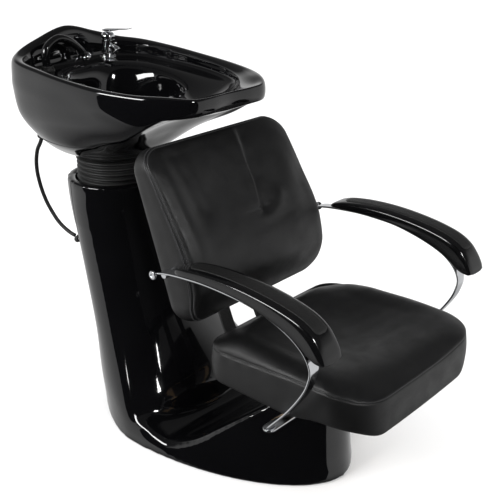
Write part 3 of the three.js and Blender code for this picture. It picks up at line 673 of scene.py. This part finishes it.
faucet_lever()
spout = smooth([(0, -15, 40), (0, -26, 40.5), (0, -36, 39.5), (0, -44, 36)], 8)
spout_radii = along([(0, 8.4), (0.3, 7.6), (0.8, 7.8), (0.9, 8.8), (1, 8.6)], np.linspace(0, 1, len(spout)))
outlet = tube(leaning(spout), 0, 28, radii=spout_radii * MM)
make("faucet_spout", *outlet, CHROME, "bowl", "chrome", ["faucet_outlet"])

HANDSET = np.array((-116, 538, 914))
socket = [[0, 0], [20, 0], [20, 3], [17.4, 6], [17, 13], [16, 14], [13.6, 14], [13.6, 3], [0, 3]]
make("handset_socket", *turned(socket, HANDSET, soft=0.8), SATIN, "bowl", "satin_plastic", ["spray_holder"])
ARCH = [(0, 0, 5), (-2, 0, 20), (-4, 0, 40), (8, 0, 64), (42, 0, 80), (80, 0, 68), (112, 0, 42), (125, 0, 27)]


def handset():
    """The gooseneck of the spray and the rose at its end."""
    line = (smooth(ARCH, 10) + HANDSET) * MM
    share = np.linspace(0, 1, len(line))
    radii = along([(0, 8.6), (0.08, 10.6), (0.3, 11.2), (0.7, 10.4), (0.94, 9.6), (1, 10.4)], share) * MM
    neck = tube(line, 0, 28, radii=radii)
    make("handset_gooseneck", *neck, LACQUER, "handset", "satin_plastic", ["spray_handset"])
    turn = Matrix.Rotation(math.pi - math.radians(41), 4, "Y")
    rose = [[0, 0.4], [11, 0.4], [13, 3], [15, 8], [15.2, 11], [14, 12], [0, 11.4]]
    end = HANDSET + (126.3, 0, 25.7)
    make("handset_rose", *turned(rose, end, turn=turn, soft=0.8), CHROME, "handset", "chrome", ["spray_rose"])


handset()
gland_turn = Matrix.Rotation(math.pi / 2 - 0.5, 4, "X")
grommet = [[5.8, -14], [9.5, -14], [9.5, -2], [11.5, 0], [11.2, 4], [7, 4.6], [5.8, 3]]
gland = closed_ring(grommet, (-106, 472, 441), turn=gland_turn)
make("tower_grommet", *gland, RUBBER, "stand", "rubber", ["tower_gland"])
nut = [[7.5, 734], [10.4, 734], [11, 736], [11, 742], [7.5, 742]]
make("bowl_grommet", *closed_ring(nut, (-148, 550, 0)), RUBBER, "bowl", "rubber", ["bowl_gland"])


# ---------------------------------------------------------------- cushions
def round_rect(half, front, rear, radius, front_radius=None, corner_steps=14, side_steps=44):
    """A round-cornered rectangle, always with the same layout of points. Millimetres."""
    wide = front_radius or radius
    corners = [
        (half - radius, rear - radius, 0, radius),
        (-half + radius, rear - radius, 1, radius),
        (-half + wide, front + wide, 2, wide),
        (half - wide, front + wide, 3, wide),
    ]
    ring = []
    for x, y, quarter, reach in corners:
        for i in range(corner_steps + 1):
            angle = math.pi / 2 * (quarter + i / corner_steps)
            ring.append((x + reach * math.cos(angle), y + reach * math.sin(angle)))
    closed = []
    count = len(ring)
    for i in range(count):
        closed.append(ring[i])
        if (i + 1) % (corner_steps + 1) == 0:
            a, b = np.array(ring[i]), np.array(ring[(i + 1) % count])
            closed += [tuple(a + (b - a) * k / side_steps) for k in range(1, side_steps)]
    return np.array(closed)


def hump(x, y, cx, cy, wide, long, angle=0.0):
    """A smooth bump of height 1, centred at (cx, cy), with its long axis turned by angle."""
    dx, dy = x - cx, y - cy
    a = dx * math.cos(angle) + dy * math.sin(angle)
    b = -dx * math.sin(angle) + dy * math.cos(angle)
    return np.exp(-((a / wide) ** 2) - (b / long) ** 2)


def from_line(x, y, line, reach):
    """1 on a line of points and falling off with distance on the scale reach."""
    line = smooth(line, 12)
    points = np.stack([x, y], 1)
    d = np.sqrt(((points[:, None] - line[None]) ** 2).sum(2).min(1))
    return np.exp(-((d / reach) ** 2))


def wrinkle(x, y, waves, seed):
    """Gentle unevenness as a sum of a few random waves, in millimetres for coordinates in millimetres."""
    draw = np.random.default_rng(seed)
    total = np.zeros_like(x)
    for _ in range(waves):
        angle, phase = draw.uniform(0, 2 * math.pi, 2)
        length = draw.uniform(45, 160)
        total += np.sin((x * math.cos(angle) + y * math.sin(angle)) / length * 2 * math.pi + phase)
    return total / waves


def ease(value, start, end):
    """0 before start, 1 after end, and a smooth step between them."""
    t = np.clip((value - start) / (end - start), 0, 1)
    return t * t * (3 - 2 * t)


SEAT_HALF = 245
SEAT_FRONT, SEAT_REAR = -617, -158


def seat_heights(x, y):
    """Heights of the cushion's lower edge, its side seam and its top at each point."""
    front = ease(-y, 545, 612)
    low = 303 + 25 * ease(-y, 395, 530) * (1 - front * (1 - 0.75 * ease(np.abs(x), 150, 235)))
    seam = 388 + 20 * ease(-y, 170, 520) - 10 * front * (1 - ease(x, 60, 200))
    top = 426 - 36 * np.clip((y + 268) / 110, 0, 1.1) ** 2
    top = top - 20 * ease(x, 130, 240) * ease(y, -330, -190)
    top = top + 5 * ease(x, 60, 220) * hump(x, y, 245, -440, 200, 80)
    top = top - (20 * (1 - ease(x, -40, 190)) + 5) * np.clip((-y - 500) / 117, 0, 1.1) ** 2
    return low, seam, top


def seat_cushion():
    """The seat's upholstery, from under its lower edge, over the side seam, to the middle of its top."""
    # inset from the outline, corner radius, and height: 0 the lower edge, 1 the seam, 2 the top
    levels = [
        (60, 30, 0.14), (34, 44, 0.05), (22, 50, 0.01), (13, 54, 0.0), (6, 58, 0.025), (2, 60, 0.09),
        (0, 62, 0.22), (-1.5, 63, 0.45), (-1, 63, 0.7), (0.5, 63, 0.88), (2, 62, 0.95), (5, 60, 0.99),
        (3, 62, 1.07), (2.5, 62, 1.2), (6, 61, 1.42), (13, 59, 1.64), (22, 57, 1.83), (33, 54, 1.95),
        (46, 50, 2), (66, 46, 2), (90, 40, 2), (116, 32, 2), (144, 24, 2), (172, 18, 2), (200, 12, 2),
        (220, 6, 2), (234, 3, 2),
    ]
    fine = smooth(levels, 3)
    rings = []
    for inset, radius, share in fine:
        radius = max(radius, 2)
        inset_y = inset if inset < 100 else 100 + (inset - 100) * 0.92
        half = max(SEAT_HALF - inset, radius + 0.5)
        front_radius = min(radius + 32 * min(radius / 50, 1), half)
        ring = round_rect(half, SEAT_FRONT + inset_y, SEAT_REAR - inset_y, radius, front_radius)
        x, y = ring[:, 0], ring[:, 1]
        low, seam, top = seat_heights(x, y)
        z = low + (seam - low) * min(share, 1) + (top - seam) * min(max(share - 1, 0), 1)
        soft = ease(inset, 34, 90)
        dish = 30 * np.exp(-((x / 165) ** 2 + ((y + 350) / 150) ** 2) ** 1.4)
        z = z - soft * dish + soft * 1.1 * wrinkle(x, y, 9, 3)
        # short folds that gather at the near front corner and along the seam
        gather = hump(x, y, -225, -560, 50, 60) * ease(share, 0.9, 1.2) * (1 - ease(inset, 16, 44))
        z = z + gather * 1.5 * np.sin((x - y) / 6.0)
        pucker = 0.7 * np.sin(y / 9.0 + 2 * np.sin(y / 41.0)) * math.exp(-((share - 1) / 0.16) ** 2)
        x = x + np.sign(x) * pucker
        bow = 1 + 0.008 * np.cos(np.clip(x / SEAT_HALF, -1, 1) * math.pi / 2) * (y < -500)
        rings.append(np.stack([x, y * bow, z], 1))
    skin = loft(np.array(rings) * MM)
    obj = make("seat_cushion_upholstery", *skin, LEATHER, "stand", "leatherette", ["seat_cushion"])
    return fine, rings


seat_levels, seat_rings = seat_cushion()


def seam_piping(name, ring, radius, body):
    """A thin welt that follows a closed ring of points in metres."""
    ring = np.asarray(ring, float)
    way = np.roll(ring, -1, 0) - np.roll(ring, 1, 0)
    way /= np.linalg.norm(way, axis=1)[:, None]
    centre = ring.mean(0)
    out = ring - centre
    out -= way * (out * way).sum(1)[:, None]
    out /= np.linalg.norm(out, axis=1)[:, None]
    up = np.cross(way, out)
    angle = np.linspace(0, 2 * math.pi, 10, endpoint=False)
    rings = [ring + radius * (math.cos(a) * out + math.sin(a) * up) for a in angle]
    make(name, *loft(np.array(rings), closed=True), PIPING, body, "leatherette")


seam_index = int(np.argmin(np.abs(seat_levels[:, 2] - 1.03)))
seam_piping("seat_welt", seat_rings[seam_index] * MM, 0.0021, "stand")

BACK_FOOT = np.array((-51.0, 392.0))
BACK_LEAN = math.radians(19.3)
BACK_HALF, BACK_HEIGHT, BACK_REAR = 240, 430, 11.5
BACK_PROFILE = [
    (0, 62), (30, 92), (60, 110), (90, 122), (150, 129), (190, 126),
    (230, 118), (270, 108), (314, 98), (350, 89), (385, 78), (430, 58),
]


def back_place(x, height, depth):
    """From the backrest's own frame, in millimetres, to the row frame in metres."""
    y = BACK_FOOT[0] + math.sin(BACK_LEAN) * height - math.cos(BACK_LEAN) * depth
    z = BACK_FOOT[1] + math.cos(BACK_LEAN) * height + math.sin(BACK_LEAN) * depth
    return np.stack([x, y, z], 1) * MM


def back_cushion():
    """The back's upholstery, from behind its outline, over two welts, to its creased middle panel."""
    line = smooth(BACK_PROFILE, 12)
    # inset, corner radius, share of the depth at that height, and extra depth
    levels = [
        (60, 24, 0, 6), (30, 36, 0, 1.5), (14, 44, 0, 0), (6, 48, 0.02, 2), (2, 50, 0.1, 3), (0, 52, 0.22, 2),
        (-1, 52, 0.42, 0), (-1.5, 52, 0.62, 0), (-0.5, 52, 0.8, 0), (1.5, 52, 0.9, 0), (5, 51, 0.935, 0),
        (2.5, 52, 0.96, 0), (2.5, 53, 1.0, 0), (7, 52, 1.05, 0), (15, 50, 1.07, 1), (28, 47, 1.07, 3),
        (45, 42, 1.06, 5), (64, 38, 1.05, 7), (85, 34, 1.04, 9), (108, 28, 1.04, 10), (132, 22, 1.04, 10.5),
        (156, 16, 1.04, 11), (180, 12, 1.04, 11), (204, 6, 1.04, 11), (212, 2, 1.04, 11),
    ]
    fine = smooth(levels, 4)
    rings = []
    for inset, radius, share, extra in fine:
        radius = max(radius, 1.5)
        half = max(BACK_HALF - inset, radius + 0.5)
        inset_h = inset if inset < 100 else 100 + (inset - 100) * 0.97
        top, low = BACK_HEIGHT - inset_h, 4 + inset_h
        ring = round_rect(half, low, max(top, low + 2 * radius + 1), radius)
        x, height = ring[:, 0], ring[:, 1]
        edge = np.interp(height, line[:, 0], line[:, 1])
        depth = BACK_REAR + share * (edge - BACK_REAR) + extra
        if share > 0.99:
            soft = np.clip(inset / 30, 0, 1)
            # the hollow middle panel, its side creases, and the fold that runs down it and hooks to one side
            left = [(-172, 440), (-160, 339), (-155, 289), (-150, 240), (-160, 160)]
            hook = [(27, 212), (36, 199), (58, 199), (84, 210), (104, 236)]
            fold_x = np.interp(height, [195, 223, 248, 289, 341, 392, 425], [26, 23, 25, 36, 41, 54, 68])
            run = ease(height, 205, 240) * (1 - 0.45 * ease(height, 330, 420))
            off = x - fold_x
            rise = np.where(off < 0, np.exp(off / 42), np.exp(-((off / 6.0) ** 2)))
            valley = np.where(off < 0, 0, (1 - np.exp(-((off / 9.0) ** 2))) * np.exp(-((off / 46) ** 2)))
            hollow = 8 * hump(x, height, -62, 300, 88, 150)
            crease = 7 * ease(height, 190, 270) * from_line(x, height, left, 27)
            depth = depth - soft * (hollow + crease)
            depth = depth + soft * run * (5.5 * rise - 10 * valley)
            depth = depth - soft * 8 * hump(x, height, 36, 214, 20, 15)
            depth = depth + soft * 4 * from_line(x, height, hook, 19)
            depth = depth - soft * 3 * hump(x, height, 70, 180, 80, 14, 0.12)
            depth = depth + soft * 5 * hump(x, height, -200, 250, 24, 150)
            depth = depth + soft * 7 * hump(x, height, 168, 275, 40, 90, -0.25)
            depth = depth + soft * 5 * hump(x, height, -10, 120, 190, 60)
            depth = depth + soft * 1.8 * wrinkle(x, height, 9, 11)
        rings.append(back_place(x, height, depth))
    rings = np.array(rings)[:, ::-1]
    obj = make("back_cushion_upholstery", *loft(rings), LEATHER, "stand", "leatherette", ["back_cushion"])
    return fine, rings


back_levels, back_rings = back_cushion()


def stitches(name, ring, lift, pitch=0.0052, length=0.0034, radius=0.0006):
    """A row of short threads along a closed ring, each lifted off the leather."""
    ring = np.asarray(ring, float)
    closed = np.concatenate([ring, ring[:1]])
    travel = np.concatenate([[0], np.cumsum(np.linalg.norm(np.diff(closed, axis=0), axis=1))])
    centre = ring.mean(0)
    verts, faces = [], []
    for start in np.arange(0, travel[-1], pitch):
        ends = []
        for k in (0, 0.5, 1):
            ends.append(np.array([np.interp(start + k * length, travel, closed[:, a]) for a in range(3)]))
        out = ends[1] - centre
        out /= np.linalg.norm(out)
        line = np.array([ends[0], ends[1] + out * lift * 0.4, ends[2]]) + out * lift
        more, sides = tube(line, radius, 6)
        faces += [tuple(len(verts) + v for v in face) for face in sides]
        verts += more
    make(name, verts, faces, THREAD, "stand", "leatherette")


for name, share, size in (("back_welt", 0.84, 0.0019), ("back_face_welt", 0.965, 0.0021)):
    index = int(np.argmin(np.abs(back_levels[:, 2] - share)))
    seam_piping(name, back_rings[index], size, "stand")
    beside = int(np.argmin(np.abs(back_levels[:, 2] - (share + 0.03 if share < 0.9 else share - 0.045))))
    stitches(name + "_stitches", back_rings[beside], 0.0009)


# ---------------------------------------------------------------- arms
ARM_LINE = [
    (-63, 556), (-78, 567), (-110, 576), (-168, 583.5), (-251, 588.5), (-365, 582.5), (-448, 560.5),
    (-501, 530), (-525, 494), (-521, 458), (-504, 421), (-466, 365), (-414, 303),
]
PAD_TOP = [
    (-141, 592), (-150, 602), (-168, 609), (-192, 614.5), (-240, 621), (-300, 624), (-360, 622.5),
    (-420, 617), (-466, 609.5), (-505, 599), (-534, 583), (-553, 562), (-566, 540), (-571, 525),
]
PAD_LOW = [
    (-139, 590), (-150, 589.6), (-168, 589.8), (-192, 591.6), (-240, 594), (-300, 593.6), (-355, 589),
    (-402, 579.5), (-440, 569), (-474, 556.5), (-502, 542), (-522, 529), (-540, 521), (-560, 518.5),
]
PAD_X = 285
STRIP_FIRST, STRIP_LAST = 16, 62
STRIP_THICKNESS = 0.0042
BAR_X, BAR_WIDTH, BAR_THICKNESS = 0.290, 0.030, 0.005
FOOT_CENTRE = (290, -411)
FOOT_RADIUS = 15


def arm_pad(side, sign):
    """The lacquered arm pad and the soft strip let into its top."""
    top, low = smooth(PAD_TOP, 6), smooth(PAD_LOW, 6)
    share = np.linspace(0, 1, len(top))
    width = along([(0, 34), (0.06, 52), (0.16, 64), (0.35, 69), (0.75, 70), (0.92, 68), (1, 60)], share)
    angle = np.linspace(0, 2 * math.pi, 56, endpoint=False)
    across = np.sign(np.cos(angle)) * np.abs(np.cos(angle)) ** 0.42
    upward = 0.5 + 0.5 * np.sign(np.sin(angle)) * np.abs(np.sin(angle)) ** 0.52
    rings = []
    for (ty, tz), (ly, lz), w in zip(top, low, width):
        x = sign * PAD_X + across * w / 2
        rings.append(np.stack([x, ly + (ty - ly) * upward, lz + (tz - lz) * upward], 1))
    rings = np.array(rings) * MM
    tip = rings[-1].mean(0) + (rings[-1] - rings[-1].mean(0)) * 0.55 + (0, -0.004, -0.001)
    rings = np.concatenate([rings, tip[None]])
    make(f"arm_pad_{side}_moulding", *loft(rings), LACQUER, "stand", "arm_lacquer", [f"arm_pad_{side}"])
    line = top[STRIP_FIRST:STRIP_LAST + 1] * MM
    share = np.linspace(0, 1, len(line))
    strip_width = along([(0, 16), (0.03, 28), (0.1, 35), (0.9, 37), (0.97, 30), (1, 18)], share) * MM
    height = np.full(len(line), STRIP_THICKNESS)
    strip = side_sweep(line, strip_width, height, sign * PAD_X * MM, corner=0.28, around=36)
    obj = make(f"arm_strip_{side}", *strip, ARM_SOFT, "stand", "arm_soft", [f"arm_inset_{side}"])


def arm_metal(side, sign):
    """The plated bar of an arm, its bolts and the spacer behind it."""
    line = smooth(ARM_LINE, 10) * MM
    count = len(line)
    widths, heights = np.full(count, BAR_WIDTH), np.full(count, BAR_THICKNESS)
    bar = side_sweep(line, widths, heights, sign * BAR_X, corner=0.16, around=28)
    make(f"arm_bar_{side}_plated", *bar, CHROME, "stand", "chrome", [f"arm_bar_{side}"])
    turn = Matrix.Rotation(sign * math.pi / 2, 4, "Y")
    head = [[0, 0], [11, 0], [11, 2.4], [9.6, 4.4], [4.2, 5], [4, 3], [0, 3]]
    centre = (sign * 305.3, -70, 562)
    make(f"arm_bolt_{side}_head", *turned(head, centre, turn=turn, soft=0.7), CHROME, "stand", "chrome",
         [f"arm_bolt_{side}"])
    sleeve = [[0, 0], [9, 0], [9, 34], [0, 34]]
    centre = (sign * 240.6, -70, 551)
    make(f"arm_spacer_{side}_sleeve", *turned(sleeve, centre, turn=turn, soft=1.2), CHROME, "stand", "chrome",
         [f"arm_spacer_{side}"])
    bolt_line = [[0, 299.3], [7.4, 299.3], [7.4, 303], [4.2, 304], [4, 313], [0, 313.5]]
    centre = (sign * 195, -411, 0)
    bolt = turned(bolt_line, centre, around=48, soft=0.6)
    make(f"arm_foot_bolt_{side}_head", *bolt, ZINC, "stand", "zinc_steel", [f"arm_foot_bolt_{side}"])


def arm_foot(side, sign):
    """The flat tab at the foot of the arm bar, round at its outer end."""
    outline = []
    for angle in np.linspace(math.pi / 2, 3 * math.pi / 2, 24):
        outline.append((FOOT_RADIUS * math.cos(angle), FOOT_RADIUS * math.sin(angle)))
    outline += [(112, -FOOT_RADIUS), (118, -9), (118, 9), (112, FOOT_RADIUS)]
    outline = np.array(outline) * (-sign, 1) + (sign * FOOT_CENTRE[0], FOOT_CENTRE[1])
    if sign > 0:
        outline = outline[::-1]
    away = outline - outline.mean(0)
    away /= np.linalg.norm(away, axis=1)[:, None]
    rings = []
    for z, shrink in ((294.0, 1.2), (294.5, 0.4), (295.2, 0), (298.0, 0), (298.6, 0.4), (299.0, 1.2)):
        rings.append(np.column_stack([outline - away * shrink, np.full(len(outline), z)]))
    make(f"arm_foot_{side}_tab", *loft(np.array(rings) * MM), CHROME, "stand", "chrome", [f"arm_foot_{side}"])


for side, sign in (("right", -1), ("left", 1)):
    arm_pad(side, sign)
    arm_metal(side, sign)
    arm_foot(side, sign)

# ---------------------------------------------------------------- CAD nodes that stay, in better materials
for part in frame["record"]["subparts"]:
    node = frame["nodes"][part["node"]]
    node.data.materials.clear()
    node.data.materials.append(BY_SLOT[part["material_slot"]])


# ---------------------------------------------------------------- floor and light
FLOOR_REACH = 30
FLOOR_DROP = 0.0005
CARD_WAY = (-0.86, -0.50, -0.05)
CARD_DISTANCE = 20.0
CARD_COSINE = 0.49
CARD_GLOW = 0.011


def stage_floor():
    """A wide pale floor that the gloss doesn't mirror."""
    reach = FLOOR_REACH
    verts = [(-reach, -reach, 0), (reach, -reach, 0), (reach, reach, 0), (-reach, reach, 0)]
    made, _, _, shader = material("pale_floor")
    shader.inputs["Base Color"].default_value = (0.93, 0.93, 0.93, 1)
    shader.inputs["Roughness"].default_value = 0.9
    shader.inputs["Specular IOR Level"].default_value = 0.0
    floor = make("floor", verts, [(0, 1, 2, 3)], made, flat=True)
    floor.location.z = -FLOOR_DROP
    floor.visible_glossy = False


def world():
    """A studio with a bright horizon, and a dim ceiling and floor for the gloss to mirror."""
    made = bpy.data.worlds.new("studio")
    scene.world = made
    made.use_nodes = True
    nodes, links = made.node_tree.nodes, made.node_tree.links
    where = nodes.new("ShaderNodeTexCoord").outputs["Generated"]
    # a direction, the cosines to it where the change starts and ends, and the light before and after
    steps = (((0, 0, 1), 0.24, 0.46, 0.75, 0.10), ((0, 0, -1), 0.48, 0.76, 1.0, 0.2))
    last = None
    for way, start, end, before, after in steps:
        dot = nodes.new("ShaderNodeVectorMath")
        dot.operation = "DOT_PRODUCT"
        dot.inputs[1].default_value = Vector(way).normalized()
        links.new(where, dot.inputs[0])
        ramp = spread(nodes, links, dot.outputs["Value"], before, after, start, end)
        if last:
            product = nodes.new("ShaderNodeMath")
            product.operation = "MULTIPLY"
            links.new(last, product.inputs[0])
            links.new(ramp, product.inputs[1])
            ramp = product.outputs["Value"]
        last = ramp
    links.new(last, nodes["Background"].inputs["Strength"])
    nodes["Background"].inputs["Color"].default_value = (1, 1, 1, 1)


def flag():
    """A far black card beside the camera that only reflections see, so that it gives the gloss its black."""
    way = Vector(CARD_WAY).normalized()
    radius = CARD_DISTANCE * math.tan(math.acos(CARD_COSINE))
    turn = way.to_track_quat("Z", "Y").to_matrix()
    angle = np.linspace(0, 2 * math.pi, 96, endpoint=False)
    verts = [turn @ Vector((radius * math.cos(a), radius * math.sin(a), CARD_DISTANCE)) for a in angle]
    made, _, _, shader = material("black_card")
    shader.inputs["Base Color"].default_value = (0.001, 0.001, 0.001, 1)
    shader.inputs["Roughness"].default_value = 1.0
    shader.inputs["Specular IOR Level"].default_value = 0.0
    shader.inputs["Emission Color"].default_value = (1, 1, 1, 1)
    shader.inputs["Emission Strength"].default_value = CARD_GLOW
    card = make("black_card", [tuple(v) for v in verts], [tuple(range(96))], made, flat=True)
    card.visible_camera = False
    card.visible_diffuse = False
    card.visible_shadow = False


def softbox(name, place, target, size, power):
    """A rectangular lamp at place that shines at target."""
    lamp = bpy.data.lights.new(name, "AREA")
    lamp.shape = "RECTANGLE"
    lamp.size, lamp.size_y = size
    lamp.energy = power
    obj = bpy.data.objects.new(name, lamp)
    scene.collection.objects.link(obj)
    obj.location = place
    obj.rotation_euler = (Vector(target) - Vector(place)).to_track_quat("-Z", "Y").to_euler()


stage_floor()
world()
flag()
SKY_STRENGTH = 3.3
sky = bpy.data.lights.new("overhead", "SUN")
sky.energy = SKY_STRENGTH
sky.angle = math.pi
overhead = bpy.data.objects.new("overhead", sky)
scene.collection.objects.link(overhead)
overhead.visible_glossy = False
softbox("highlight_left", (-3.0, 0.9, 2.3), (0, 0.3, 0.8), (2.0, 0.7), 90)
softbox("highlight_front", (-0.9, -2.6, 2.4), (0, 0.1, 0.6), (0.35, 0.35), 26)
